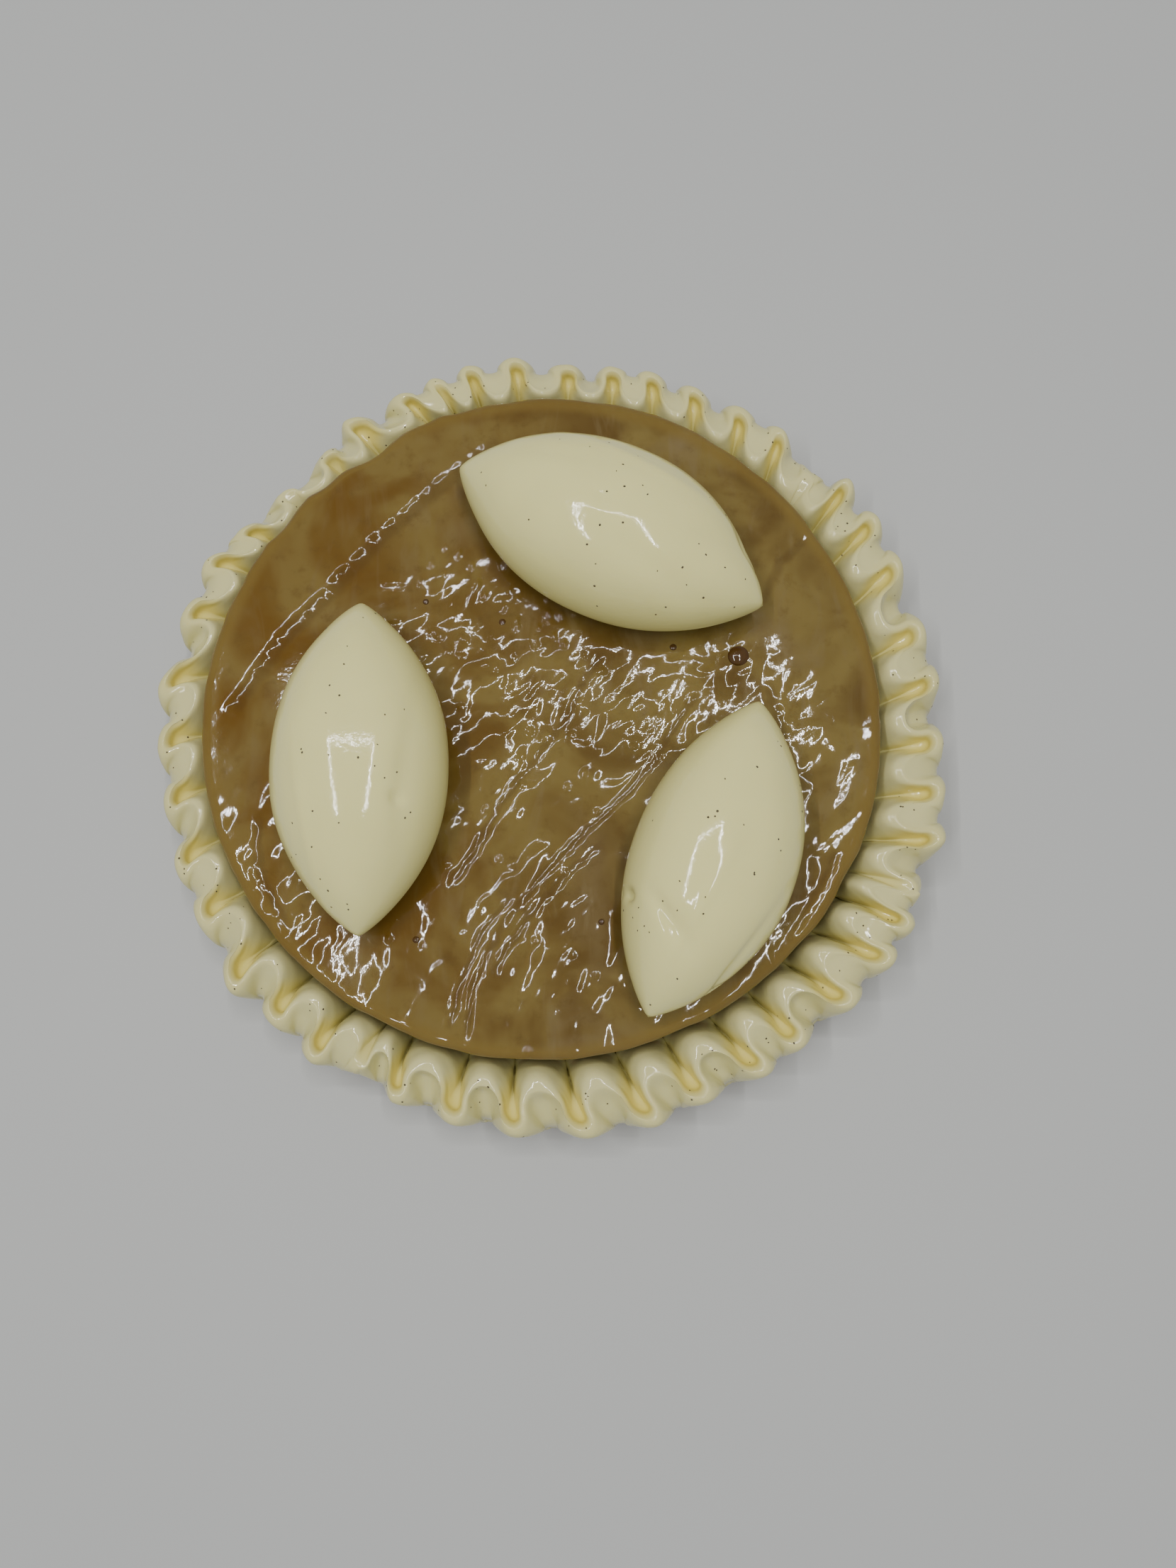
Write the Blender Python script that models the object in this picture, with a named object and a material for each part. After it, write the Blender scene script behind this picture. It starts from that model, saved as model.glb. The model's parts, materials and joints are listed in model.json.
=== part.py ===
"""Tarte tatin with a piped cream border and three cream quenelles.

Metres, +Z up, front towards -Y. The origin is under the middle of the tart, on the surface
that it rests on. Angles of the border run anticlockwise from +X.
"""

import math
from collections import namedtuple

import bmesh
import bpy
from mathutils import Matrix, Vector

# Driving dimensions.
GAP = 0.0003  # air between touching pieces

PASTRY_RADIUS = 0.0984
PASTRY_HEIGHT = 0.0055
PASTRY_EDGE = 0.0008  # rounding of its two rims
PASTRY_UNEVEN = 0.0005

DISC_RADIUS = 0.0848
DISC_CENTRE = (-0.0028, 0.0033)
DISC_TOP = 0.0305
DISC_EDGE = 0.0022  # rounding of the upper rim
DISC_FOOT = 0.0006  # rounding of the lower rim
DISC_SINK = 0.0005  # depth of the hollows in its top
# Waves of the disc's side: how many go round, height and phase.
DISC_WAVES = ((2, 0.00038, 1.08), (3, 0.00049, -2.40), (4, 0.00025, 2.55))
# Dents in the disc's side: angle and half width in degrees, and depth.
DISC_DENTS = ((122.5, 4.5, 0.0019), (131.5, 3.0, 0.0008), (142.5, 3.5, 0.0006))

CREAM_TOP = 0.0250  # the border's ridge above the base
CREAM_TIP = 0.0983  # radius of the ridge at the outer end of a fold
CREAM_APEX = 0.0903  # radius of the ridge half way between two folds
CREAM_FOOT = 0.0986  # radius of the border's foot half way between two folds
FOLD_CROWDING = 0.35  # how much closer the sections lie near a fold's crease
SECTIONS_PER_FOLD = 7

# The folds, clockwise: angle of a fold's outer end, how far it leans anticlockwise from root to
# end (both in degrees), how far its end stands out and up beyond the usual (mm), how full the
# barrel after it is outside the ridge (0 hollow, 1 round), and how weak the fold came out.
FOLDS = (
    (40, 1.7, 2.2, 1.5, 1.1, 0), (33.3, 1.5, 1.7, 1, 1.25, 0), (26, 2.5, 0.6, 0.3, -0.3, 0),
    (15.4, 1.8, -0.7, -0.4, 0.95, 0), (7.5, 2.3, -0.4, -0.2, -0.3, 0),
    (-1.8, 1.1, -0.9, -0.5, 0.85, 0), (-9.4, 1.8, 0, 0, 1.5, 0), (-16.6, 2.5, 1.9, 1.1, 0.45, 0),
    (-24.4, 0.6, 0.3, 0.2, 1.5, 0.6), (-29.2, 0.4, 2.2, 1.6, 1.5, 0),
    (-35.2, 2, 2.2, 1.6, 1.15, 0), (-43.2, 1.5, 1.2, 0.7, -0.3, 0),
    (-52.2, 0.8, -0.3, -0.2, 0.65, 0), (-58.9, 2.5, 0.1, 0.1, -0.3, 0),
    (-68, 2.5, -0.7, -0.4, 0.3, 0), (-76, 3.5, 0.5, 0.3, 0.4, 0), (-85.5, 3.2, 0.4, 0.2, 0.05, 0),
    (-95.6, 1.9, 0.2, 0.1, -0.3, 0), (-104.3, 1.3, -0.2, -0.1, -0.3, 0),
    (-113.5, 2.6, -0.6, -0.3, -0.3, 0), (-119.6, 1, -2.6, -1, 1, 0.55),
    (-126.3, 0.6, 0.8, 0.4, 0.55, 0), (-134.3, 2, 0.2, 0.1, 0.55, 0),
    (-142.3, 2.6, 2.2, 1.6, 0.7, 0), (-152.3, 2, 0.2, 0.1, 1.15, 0), (-161, 3, 0.3, 0.2, 0.4, 0),
    (-170, 3, -0.3, -0.2, 0.95, 0), (-179, 2.7, 0.3, 0.2, 1.2, 0),
    (-188.5, 3.5, 1.4, 0.8, 0.15, 0), (-199.3, 2.2, 0.9, 0.5, 1.25, 0),
    (-207.8, 2.2, 1.3, 0.8, 1.4, 0), (-213.7, 3, -1.2, -0.7, 0.3, 0),
    (-221.5, 2, -2.6, -1, -0.3, 0.9), (-231.2, 1, -2.6, -1, 0.55, 0.2),
    (-237.6, 2, 0.9, 0.5, 0.35, 0), (-247, 3, 0.4, 0.2, 1.5, 0), (-252, 2, 0.9, 0.6, 1.5, 0.3),
    (-257.2, 0.8, 1.7, 1.3, 1.5, 0), (-264.2, 0.4, 1.8, 1.6, 1, 0),
    (-272.3, 0.3, -0.2, -0.1, 0.45, 0), (-279.3, 0.8, 0.2, 0.1, 1.5, 0),
    (-285.5, 2, 0.7, 0.4, 1, 0), (-292.5, 2.5, 0.3, 0.2, 0.75, 0),
    (-300.3, 2.7, 0.4, 0.2, 1.5, 0), (-307.5, 2.5, 1, 0.6, 0.75, 0),
    (-314.5, 1.5, -2.5, -1, 1, 1),
)

# One station of the border's section. Over a barrel, half way between two folds, its radius is
# a share of the way from the ridge to the foot (outer side) or from the disc to the ridge (inner
# side): `hollow` or `full`, as the fold says. In a fold it is `fold`, millimetres past the ridge
# or the like share. `width` and `power` say how wide and how square the fold is at this station.
Station = namedtuple("Station", "side hollow hollow_z full full_z fold fold_z width power")
STATIONS = (
    Station("outer", 1.00, 0.0, 1.02, 0.0, 1.0, 0.0, 0.36, 2.6),
    Station("outer", 1.05, 5.0, 1.16, 5.6, 2.5, 6.5, 0.36, 2.6),
    Station("outer", 0.97, 9.6, 1.12, 11.4, 2.7, 12.0, 0.35, 3.2),
    Station("outer", 0.72, 13.0, 0.94, 15.2, 2.4, 16.4, 0.33, 4.0),
    Station("outer", 0.36, 15.6, 0.62, 17.6, 1.5, 18.6, 0.30, 4.0),
    Station("outer", 0.03, 19.2, 0.10, 19.3, 0.1, 19.4, 0.225, 3.2),
    Station("inner", 0.78, 19.7, 0.78, 19.7, 0.90, 18.0, 0.135, 3.4),
    Station("inner", 0.50, 19.3, 0.50, 19.3, 0.85, 16.2, 0.095, 3.0),
    Station("inner", 0.24, 17.2, 0.24, 17.2, 0.66, 15.4, 0.06, 2.0),
    Station("inner", 0.06, 12.6, 0.06, 12.6, 0.38, 12.4, 0.045, 1.6),
    Station("inner", 0.00, 6.0, 0.00, 6.0, 0.22, 6.0, 0.045, 1.4),
    Station("inner", 0.00, 0.0, 0.00, 0.0, 0.20, 0.0, 0.045, 1.4),
)
OUTERMOST_STATION = 2  # the station at the outermost point of the torus

# Quenelles: length, width, height, place of the middle, turn in degrees, and how much wider
# the left side is than the right.
Quenelle = namedtuple("Quenelle", "length width height x y turn bulge")
QUENELLES = {
    "quenelle_top": Quenelle(0.0830, 0.0440, 0.0330, 0.0147, 0.0463, -26.1, -0.04),
    "quenelle_left": Quenelle(0.0814, 0.0430, 0.0320, -0.0457, -0.0107, -89.2, 0.0),
    "quenelle_right": Quenelle(0.0797, 0.0395, 0.0315, 0.0366, -0.0330, -110.5, -0.12),
}
QUENELLE_BELLY = 0.36  # height of the widest level, as a share of the whole
QUENELLE_FLAT = 0.10  # share of the height that the flattened underside takes away

Finish = namedtuple("Finish", "colour roughness")
CREAM = Finish((0.76, 0.71, 0.49), 0.38)
APPLE = Finish((0.24, 0.135, 0.045), 0.22)
PASTRY = Finish((0.36, 0.17, 0.055), 0.65)


def smooth_step(t):
    return t * t * (3 - 2 * t)


def mix(a, b, t):
    return a + (b - a) * t


def clear_scene():
    for obj in list(bpy.data.objects):
        bpy.data.objects.remove(obj)


def new_collection(name):
    collection = bpy.data.collections.new(name)
    bpy.context.scene.collection.children.link(collection)
    return collection


def material(name, finish):
    made = bpy.data.materials.new(name)
    made.use_nodes = True
    shader = made.node_tree.nodes["Principled BSDF"]
    shader.inputs["Base Color"].default_value = (*finish.colour, 1)
    shader.inputs["Roughness"].default_value = finish.roughness
    shader.inputs["Metallic"].default_value = 0.0
    return made


def add_object(name, mesh_maker, finish, collection):
    """A smooth-shaded object from a bmesh, with a material of its own."""
    mesh = bpy.data.meshes.new(name)
    mesh_maker.to_mesh(mesh)
    mesh_maker.free()
    mesh.materials.append(material(name + "_finish", finish))
    mesh.shade_smooth()
    mesh.set_sharp_from_angle(angle=math.radians(50))
    obj = bpy.data.objects.new(name, mesh)
    collection.objects.link(obj)
    return obj


def turned(profile, steps):
    """A bmesh turned from (radius, z) points, from the axis at the foot to the axis on top."""
    bm = bmesh.new()
    points = [bm.verts.new((radius, 0, z)) for radius, z in profile]
    edges = [bm.edges.new(pair) for pair in zip(points, points[1:])]
    bmesh.ops.spin(
        bm,
        geom=points + edges,
        cent=(0, 0, 0),
        axis=(0, 0, 1),
        angle=math.tau,
        steps=steps,
        use_merge=True,
    )
    bmesh.ops.remove_doubles(bm, verts=bm.verts, dist=1e-6)
    bmesh.ops.recalc_face_normals(bm, faces=bm.faces)
    return bm


def rim(radius, z, rounding, first, last, steps):
    """Points of a rounded rim between two angles in degrees, 0 pointing outwards, 90 up."""
    points = []
    for i in range(steps + 1):
        angle = math.radians(mix(first, last, i / steps))
        points.append((radius + rounding * math.cos(angle), z + rounding * math.sin(angle)))
    return points


def disc_reach(angle):
    """Radius of the disc's side about its own middle, without its dents."""
    return DISC_RADIUS + sum(h * math.sin(n * angle + p) for n, h, p in DISC_WAVES)


def disc_rim(angle):
    """The same with the dents."""
    reach = disc_reach(angle)
    for middle, half_width, depth in DISC_DENTS:
        away = (angle - math.radians(middle) + math.pi) % math.tau - math.pi
        reach -= depth * math.exp(-((away / math.radians(half_width)) ** 2))
    return reach


def disc_distance(angle):
    """How far the disc's side lies from the origin, in the given direction."""
    middle = Vector(DISC_CENTRE)
    way = Vector((math.cos(angle), math.sin(angle)))
    distance = DISC_RADIUS + way.dot(middle)
    for _ in range(6):
        spoke = way * distance - middle
        distance += disc_reach(math.atan2(spoke.y, spoke.x)) - spoke.length
    return distance


def disc_hollow(x, y):
    """Depth below the top's highest level, from 0 to DISC_SINK."""
    wave = math.sin(90 * x + 130 * y + 0.5) + math.sin(140 * x - 70 * y + 2.0)
    wave += math.sin(35 * x + 48 * y + 4.0)
    return DISC_SINK * (0.5 - wave / 6)


def pastry_base(collection):
    """The baked round that carries everything, flat underneath."""
    inner = PASTRY_RADIUS - PASTRY_EDGE
    upper = PASTRY_HEIGHT - PASTRY_EDGE
    profile = [(0, 0)]
    profile += rim(inner, PASTRY_EDGE, PASTRY_EDGE, -90, 0, 2)
    profile += rim(inner, upper, PASTRY_EDGE, 0, 90, 2)
    profile += [(0, PASTRY_HEIGHT)]
    bm = turned(profile, 56)
    for vert in bm.verts:
        angle = math.atan2(vert.co.y, vert.co.x)
        share = vert.co.xy.length / PASTRY_RADIUS
        uneven = math.sin(5 * angle + 1.3) + 0.6 * math.sin(11 * angle + 0.4)
        vert.co.xy *= 1 + share * PASTRY_UNEVEN / PASTRY_RADIUS * uneven
    return add_object("pastry_base", bm, PASTRY, collection)


def apple_disc(collection):
    """The moulded round of sliced, caramelised fruit."""
    floor = PASTRY_HEIGHT + GAP
    top = DISC_TOP - DISC_EDGE
    profile = [(0, floor)]
    profile += rim(DISC_RADIUS - DISC_FOOT, floor + DISC_FOOT, DISC_FOOT, -90, 0, 1)
    profile += rim(DISC_RADIUS - DISC_EDGE, top, DISC_EDGE, 0, 90, 2)
    profile += [(DISC_RADIUS * share, DISC_TOP) for share in (0.66, 0.33, 0)]
    bm = turned(profile, 76)
    for vert in bm.verts:
        radius = vert.co.xy.length
        if radius > 0:
            angle = math.atan2(vert.co.y, vert.co.x)
            share = smooth_step(min(radius / DISC_RADIUS, 1))
            vert.co.xy *= 1 + share * (disc_rim(angle) / DISC_RADIUS - 1)
        if vert.co.z > top:
            vert.co.z -= disc_hollow(vert.co.x, vert.co.y)
    bm.transform(Matrix.Translation((*DISC_CENTRE, 0)))
    return add_object("apple_disc", bm, APPLE, collection)


Fold = namedtuple("Fold", "root lean reach lift full weak")


def folds():
    """Every fold of the border, anticlockwise, in radians and metres."""
    made = []
    for angle, lean, reach, lift, full, weak in reversed(FOLDS):
        root = math.radians(angle - lean)
        made.append(Fold(root, math.radians(lean), reach / 1000, lift / 1000, full, weak))
    return made


def fold_weight(phase, station):
    """1 in a fold and 0 half way to the next; phase runs from 0 in one fold to 1 in the next."""
    away = min(phase, 1 - phase)
    edge = 1 / (1 + (0.5 / station.width) ** station.power)
    return (1 / (1 + (away / station.width) ** station.power) - edge) / (1 - edge)


def border_point(all_folds, turn, station_index):
    """The place of one station, `turn` folds round the border."""
    index = int(turn) % len(all_folds)
    here, after = all_folds[index], all_folds[(index + 1) % len(all_folds)]
    step = turn - int(turn)
    phase = step - FOLD_CROWDING * math.sin(math.tau * step) / math.tau
    blend = smooth_step(phase)
    root = here.root + ((after.root - here.root) % math.tau) * phase
    weak = mix(here.weak, after.weak, blend)

    disc = disc_distance(root) + GAP
    ridge_apex = CREAM_APEX + 0.45 * (disc - DISC_RADIUS)
    foot = CREAM_FOOT + 0.15 * (disc - DISC_RADIUS)
    ridge_tip = CREAM_TIP + 0.15 * (disc - DISC_RADIUS) + mix(here.reach, after.reach, blend)
    station = STATIONS[station_index]
    share = mix(station.hollow, station.full, after.full)
    if station.side == "outer":
        over_barrel = mix(ridge_apex, foot, share)
        in_fold = ridge_tip + station.fold / 1000
    else:
        over_barrel = mix(disc, ridge_apex, share)
        in_fold = mix(disc, ridge_tip, mix(station.fold, share, weak))
    weight = fold_weight(phase, station)
    radius = max(mix(over_barrel, in_fold, weight), disc)
    barrel_z = mix(station.hollow_z, station.full_z, after.full)
    fold_z = mix(station.fold_z, barrel_z, weak)
    height = mix(barrel_z, fold_z, weight) / 1000
    height *= 1 + mix(here.lift, after.lift, blend) / CREAM_TOP
    height += PASTRY_HEIGHT + GAP
    lean = mix(here.lean, after.lean, blend) * (radius - disc) / (ridge_tip - disc)
    return Vector((radius * math.cos(root + lean), radius * math.sin(root + lean), height))


def cream_ruffle(collection):
    """The piped border: a torus whose rings are moved onto the folds' sections."""
    all_folds = folds()
    rings = len(all_folds) * SECTIONS_PER_FOLD
    bpy.ops.mesh.primitive_torus_add(
        major_radius=1, minor_radius=0.25, major_segments=rings, minor_segments=len(STATIONS)
    )
    torus = bpy.context.object
    bm = bmesh.new()
    bm.from_mesh(torus.data)
    bpy.data.objects.remove(torus)
    for vert in bm.verts:
        ring = round(math.atan2(vert.co.y, vert.co.x) / math.tau * rings) % rings
        round_tube = math.atan2(vert.co.z, vert.co.xy.length - 1) / math.tau
        station = round(round_tube * len(STATIONS) + OUTERMOST_STATION) % len(STATIONS)
        vert.co = border_point(all_folds, ring / SECTIONS_PER_FOLD, station)
    return add_object("cream_ruffle", bm, CREAM, collection)


def quenelle(name, size, collection):
    """A pointed egg of cream shaped between two spoons, flattened where it lies."""
    bm = bmesh.new()
    bmesh.ops.create_uvsphere(bm, u_segments=16, v_segments=14, radius=1)
    bmesh.ops.rotate(bm, verts=bm.verts, matrix=Matrix.Rotation(math.pi / 2, 3, "Y"))
    belly = QUENELLE_BELLY * size.height
    for vert in bm.verts:
        along = max(-1, min(1, 2 * math.asin(max(-1, min(1, vert.co.x))) / math.pi))
        ring = math.sqrt(max(1 - vert.co.x**2, 1e-12))
        across, up = vert.co.y / ring, vert.co.z / ring
        girth = (1 - abs(along) ** 2.15) ** 0.92
        side = size.width / 2 * girth * (1 + size.bulge * (1 if across < 0 else -1))
        rise = (size.height - belly) * girth**0.88
        drop = belly * (0.35 + 0.65 * girth)
        x = along * size.length / 2
        y = across * side
        z = belly + (up * rise if up > 0 else up * drop * girth**0.6)
        vert.co = (x, y, max(z, size.height * QUENELLE_FLAT))
    bmesh.ops.remove_doubles(bm, verts=bm.verts, dist=1e-5)
    lowest = min(vert.co.z for vert in bm.verts)
    seat = DISC_TOP + GAP - lowest
    bm.transform(
        Matrix.Translation((size.x, size.y, seat)) @ Matrix.Rotation(math.radians(size.turn), 4, "Z")
    )
    return add_object(name, bm, CREAM, collection)


def main():
    clear_scene()
    tart = new_collection("tarte_tatin")
    pastry_base(tart)
    apple_disc(tart)
    cream_ruffle(tart)
    for name, size in QUENELLES.items():
        quenelle(name, size, tart)


main()
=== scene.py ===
"""Tarte tatin: a glazed round of sliced fruit on pastry, in a piped cream border, with three
cream quenelles. Metres, +Z up, front towards -Y. Angles run anticlockwise from +X.
"""

import json
import math
import random
from collections import namedtuple

import bmesh
import bpy
from bpy.props import FloatProperty, FloatVectorProperty, IntProperty, PointerProperty
from bpy.types import Operator, Panel, PropertyGroup
from mathutils import Euler, Matrix, Vector, noise
from mathutils.bvhtree import BVHTree
from mathutils.kdtree import KDTree

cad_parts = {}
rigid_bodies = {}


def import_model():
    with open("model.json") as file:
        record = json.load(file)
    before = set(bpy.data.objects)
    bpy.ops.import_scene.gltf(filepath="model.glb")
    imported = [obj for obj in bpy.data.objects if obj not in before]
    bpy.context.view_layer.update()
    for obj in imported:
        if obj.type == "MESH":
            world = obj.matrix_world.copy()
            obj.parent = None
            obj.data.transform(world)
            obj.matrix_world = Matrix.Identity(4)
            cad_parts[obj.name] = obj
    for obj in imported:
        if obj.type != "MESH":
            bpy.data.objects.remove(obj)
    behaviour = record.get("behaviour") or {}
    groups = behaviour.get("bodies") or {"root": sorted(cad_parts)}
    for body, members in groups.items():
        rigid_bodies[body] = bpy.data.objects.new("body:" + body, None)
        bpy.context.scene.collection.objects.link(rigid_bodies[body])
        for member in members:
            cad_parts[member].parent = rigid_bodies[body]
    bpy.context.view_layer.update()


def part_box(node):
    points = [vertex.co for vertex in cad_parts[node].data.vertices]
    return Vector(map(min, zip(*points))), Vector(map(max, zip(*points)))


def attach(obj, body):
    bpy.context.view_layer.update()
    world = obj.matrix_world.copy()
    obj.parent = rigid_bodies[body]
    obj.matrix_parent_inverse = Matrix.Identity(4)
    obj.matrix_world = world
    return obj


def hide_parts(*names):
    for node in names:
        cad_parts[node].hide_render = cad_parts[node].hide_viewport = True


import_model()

bl_info = {
    "name": "Tarte tatin",
    "version": (1, 0, 0),
    "blender": (4, 5, 0),
    "location": "3D View > Sidebar > Tart",
    "description": "Builds a glazed fruit tart with a piped cream border and quenelles",
    "category": "Add Mesh",
}

PASTRY_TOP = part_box("pastry_base")[1].z
FRUIT_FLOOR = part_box("apple_disc")[0].z
FRUIT_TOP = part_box("apple_disc")[1].z
CREAM_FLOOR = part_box("cream_ruffle")[0].z
GAP = FRUIT_FLOOR - PASTRY_TOP
MM = 0.001
RAY_TOP = 0.1  # a height above the whole tart, from which surfaces are found
SAME_PLACE = 1e-7  # vertices closer than this are one
NOISE_SEED = 1795415062  # without a seed, noise_vector() starts from the clock


# ---------------------------------------------------------------- sizes and colours


def length(name, description, default):
    return FloatProperty(name=name, description=description, default=default, unit="LENGTH",
                         precision=5, min=0)


def share(name, description, default):
    return FloatProperty(name=name, description=description, default=default, min=0, max=1)


def colour(name, description, default):
    return FloatVectorProperty(name=name, description=description, default=default,
                               subtype="COLOR", size=3, min=0, max=1)


class TartPastrySizes(PropertyGroup):
    radius: length("Radius", "Radius of the pastry round", 0.0984)
    edge: length("Edge", "Rounding of its two rims", 0.0008)
    uneven: length("Unevenness", "How far its side wanders in and out", 0.0005)
    flake: length("Flakes", "How far the baked layers stand out of its side", 0.00045)


class TartFruitSizes(PropertyGroup):
    radius: length("Radius", "Radius of the moulded fruit", 0.0848)
    middle: FloatVectorProperty(name="Middle", description="Where its middle lies",
                                default=(-0.0028, 0.0033), size=2, unit="LENGTH", precision=5)
    edge: length("Edge", "Rounding of its upper rim", 0.0022)
    sink: length("Hollows", "Depth of the broad hollows in its top", 0.0005)
    ripple: length("Ripples", "Height of the glaze's ripples where they are strongest", 0.00062)
    cells: IntProperty(name="Cells", description="Mesh cells across the top", default=280, min=8)


class TartBorderSizes(PropertyGroup):
    ridge: length("Ridge height", "Height of the ridge above the pastry it lies on", 0.0250)
    tip: length("Tip radius", "Radius of the ridge at the outer end of a fold", 0.0983)
    apex: length("Apex radius", "Radius of the ridge half way between two folds", 0.0903)
    foot: length("Foot radius", "Radius of the foot half way between two folds", 0.0986)
    sections: IntProperty(name="Sections", description="Sections for each fold", default=32, min=6)
    around: IntProperty(name="Around", description="Points round a section", default=60, min=15)


class TartQuenelleSizes(PropertyGroup):
    belly: share("Belly", "Height of the widest level, as a share of the whole", 0.36)
    flat: share("Flat", "Share of the height that the flattened underside takes away", 0.10)
    dent: length("Dents", "Depth of the broad dents left by the spoon", 0.0007)
    along: IntProperty(name="Along", description="Mesh sections along a quenelle", default=130, min=12)
    around: IntProperty(name="Around", description="Mesh points round a quenelle", default=110, min=12)


class TartColours(PropertyGroup):
    cream: colour("Cream", "Whipped cream", (0.80, 0.76, 0.33))
    piped: colour("Piped cream", "Whipped cream of the border", (0.68, 0.64, 0.31))
    # Painted shade: the folds' deeper yellow stands in for light bounced and shaded inside them.
    fold: colour("Folds", "Deeper yellow inside the border's folds", (0.72, 0.62, 0.16))
    gold: colour("Golden fruit", "Lighter slices", (0.188, 0.137, 0.039))
    brown: colour("Brown fruit", "Darker, well cooked slices", (0.096, 0.055, 0.012))
    orange: colour("Orange fruit", "Caramelised slices on the left", (0.135, 0.066, 0.006))
    # Partly the flesh's own streaks, partly a painted reflection of the surroundings in the glaze.
    pale_and_reflection: colour("Pale fruit", "Greyish pink streaks of the flesh", (0.185, 0.138, 0.062))
    rim: colour("Rim", "Lighter band at the rim", (0.185, 0.124, 0.028))
    caramel: colour("Caramel", "Syrup in the troughs and drops", (0.060, 0.026, 0.007))
    crust: colour("Crust", "Baked pastry", (0.42, 0.20, 0.060))
    baked: colour("Dark crust", "Edges that caught in the oven", (0.17, 0.062, 0.018))
    vanilla: colour("Vanilla", "Specks of vanilla seed", (0.035, 0.028, 0.016))


class TartStage(PropertyGroup):
    floor: colour("Floor", "Colour of the table", (0.46, 0.47, 0.465))
    soft: FloatProperty(name="Soft light", description="Strength of the light all round", default=0.34)
    strip: FloatProperty(name="Strips", description="Power of the strips, in watts a metre", default=8.0)
    height: length("Height", "How high the light strips hang", 1.2)
    width: length("Width", "Width of a light strip", 0.003)


# ---------------------------------------------------------------- shader wiring


class Wire:
    """A shader socket used as a number. Arithmetic on wires adds their Math nodes."""

    def __init__(self, shader, socket):
        self.shader = shader
        self.socket = socket

    def __add__(self, other):
        return self.shader.math("ADD", self, other)

    def __rsub__(self, other):
        return self.shader.math("SUBTRACT", other, self)

    def __mul__(self, other):
        return self.shader.math("MULTIPLY", self, other)

    __radd__ = __add__
    __rmul__ = __mul__


class Shader:
    """The nodes of one material."""

    def __init__(self, name):
        self.material = bpy.data.materials.new(name)
        self.material.use_nodes = True
        self.tree = self.material.node_tree
        self.surface = self.tree.nodes["Principled BSDF"]

    def plug(self, socket, value):
        if isinstance(value, Wire):
            self.tree.links.new(value.socket, socket)
        else:
            socket.default_value = value

    def node(self, kind, settings, inputs, output=0):
        """One node: its type, its settings, its sockets' values or wires, and the output used."""
        made = self.tree.nodes.new(kind)
        for name, value in settings.items():
            setattr(made, name, value)
        for name, value in inputs.items():
            self.plug(made.inputs[name], value)
        return Wire(self, made.outputs[output])

    def math(self, operation, first, second):
        return self.node("ShaderNodeMath", {"operation": operation}, {0: first, 1: second})

    def mix(self, first, second, factor):
        """A blend of two colours. The Mix node's sockets 6 and 7 and its output 2 are colours."""
        inputs = {0: factor}
        for place, shade in ((6, first), (7, second)):
            inputs[place] = shade if isinstance(shade, Wire) else (*shade, 1)
        return self.node("ShaderNodeMix", {"data_type": "RGBA"}, inputs, 2)

    def place(self, scale=(1, 1, 1), turn=0.0):
        """Object coordinates, turned about Z and stretched."""
        where = self.node("ShaderNodeTexCoord", {}, {}, "Object")
        inputs = {"Vector": where, "Rotation": (0, 0, turn), "Scale": scale}
        return self.node("ShaderNodeMapping", {}, inputs)

    def cloud(self, where, scale, detail=2.0, roughness=0.5, distortion=0.0):
        """Noise from about 0 to 1."""
        inputs = {"Vector": where, "Scale": scale, "Detail": detail, "Roughness": roughness,
                  "Distortion": distortion}
        return self.node("ShaderNodeTexNoise", {}, inputs, 0)

    def between(self, value, low, high):
        """0 below `low` and 1 above `high`, smooth between them."""
        inputs = {"Value": value, "From Min": low, "From Max": high}
        return self.node("ShaderNodeMapRange", {"interpolation_type": "SMOOTHSTEP"}, inputs)

    def attribute(self, name):
        """A number that the mesh holds at its vertices."""
        return self.node("ShaderNodeAttribute", {"attribute_name": name}, {}, "Fac")

    def bump(self, height, depth, strength):
        inputs = {"Height": height, "Distance": depth, "Strength": strength}
        return self.node("ShaderNodeBump", {}, inputs)

    def finish(self, **inputs):
        """Fills the surface's sockets, named with _ for a space."""
        for name, value in inputs.items():
            self.plug(self.surface.inputs[name.replace("_", " ")], value)
        return self.material


def times(shade, factor):
    """A colour made lighter or darker."""
    return [part * factor for part in shade]


def cream_material(name, colours, folds=False):
    """Whipped cream. With `folds` it is the border's, yellower inside its folds as painted shade."""
    made = Shader(name)
    where = made.place()
    cream = colours.piped if folds else colours.cream
    shade = made.mix(cream, times(cream, 0.93), made.cloud(where, 90, detail=3.0))
    if folds:
        # Painted shade: the deeper yellow inside the folds stands in for light bounced and shaded there.
        shade = made.mix(shade, colours.fold, made.attribute("fold"))
    return made.finish(
        Base_Color=shade,
        Roughness=0.06 + 0.06 * made.cloud(where, 260),
        Normal=made.bump(made.cloud(where, 700), depth=0.00006, strength=0.6),
        IOR=1.45,
        Subsurface_Weight=0.3,
        Subsurface_Radius=(1.0, 0.8, 0.45),
        Subsurface_Scale=0.0014,
    )


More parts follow.
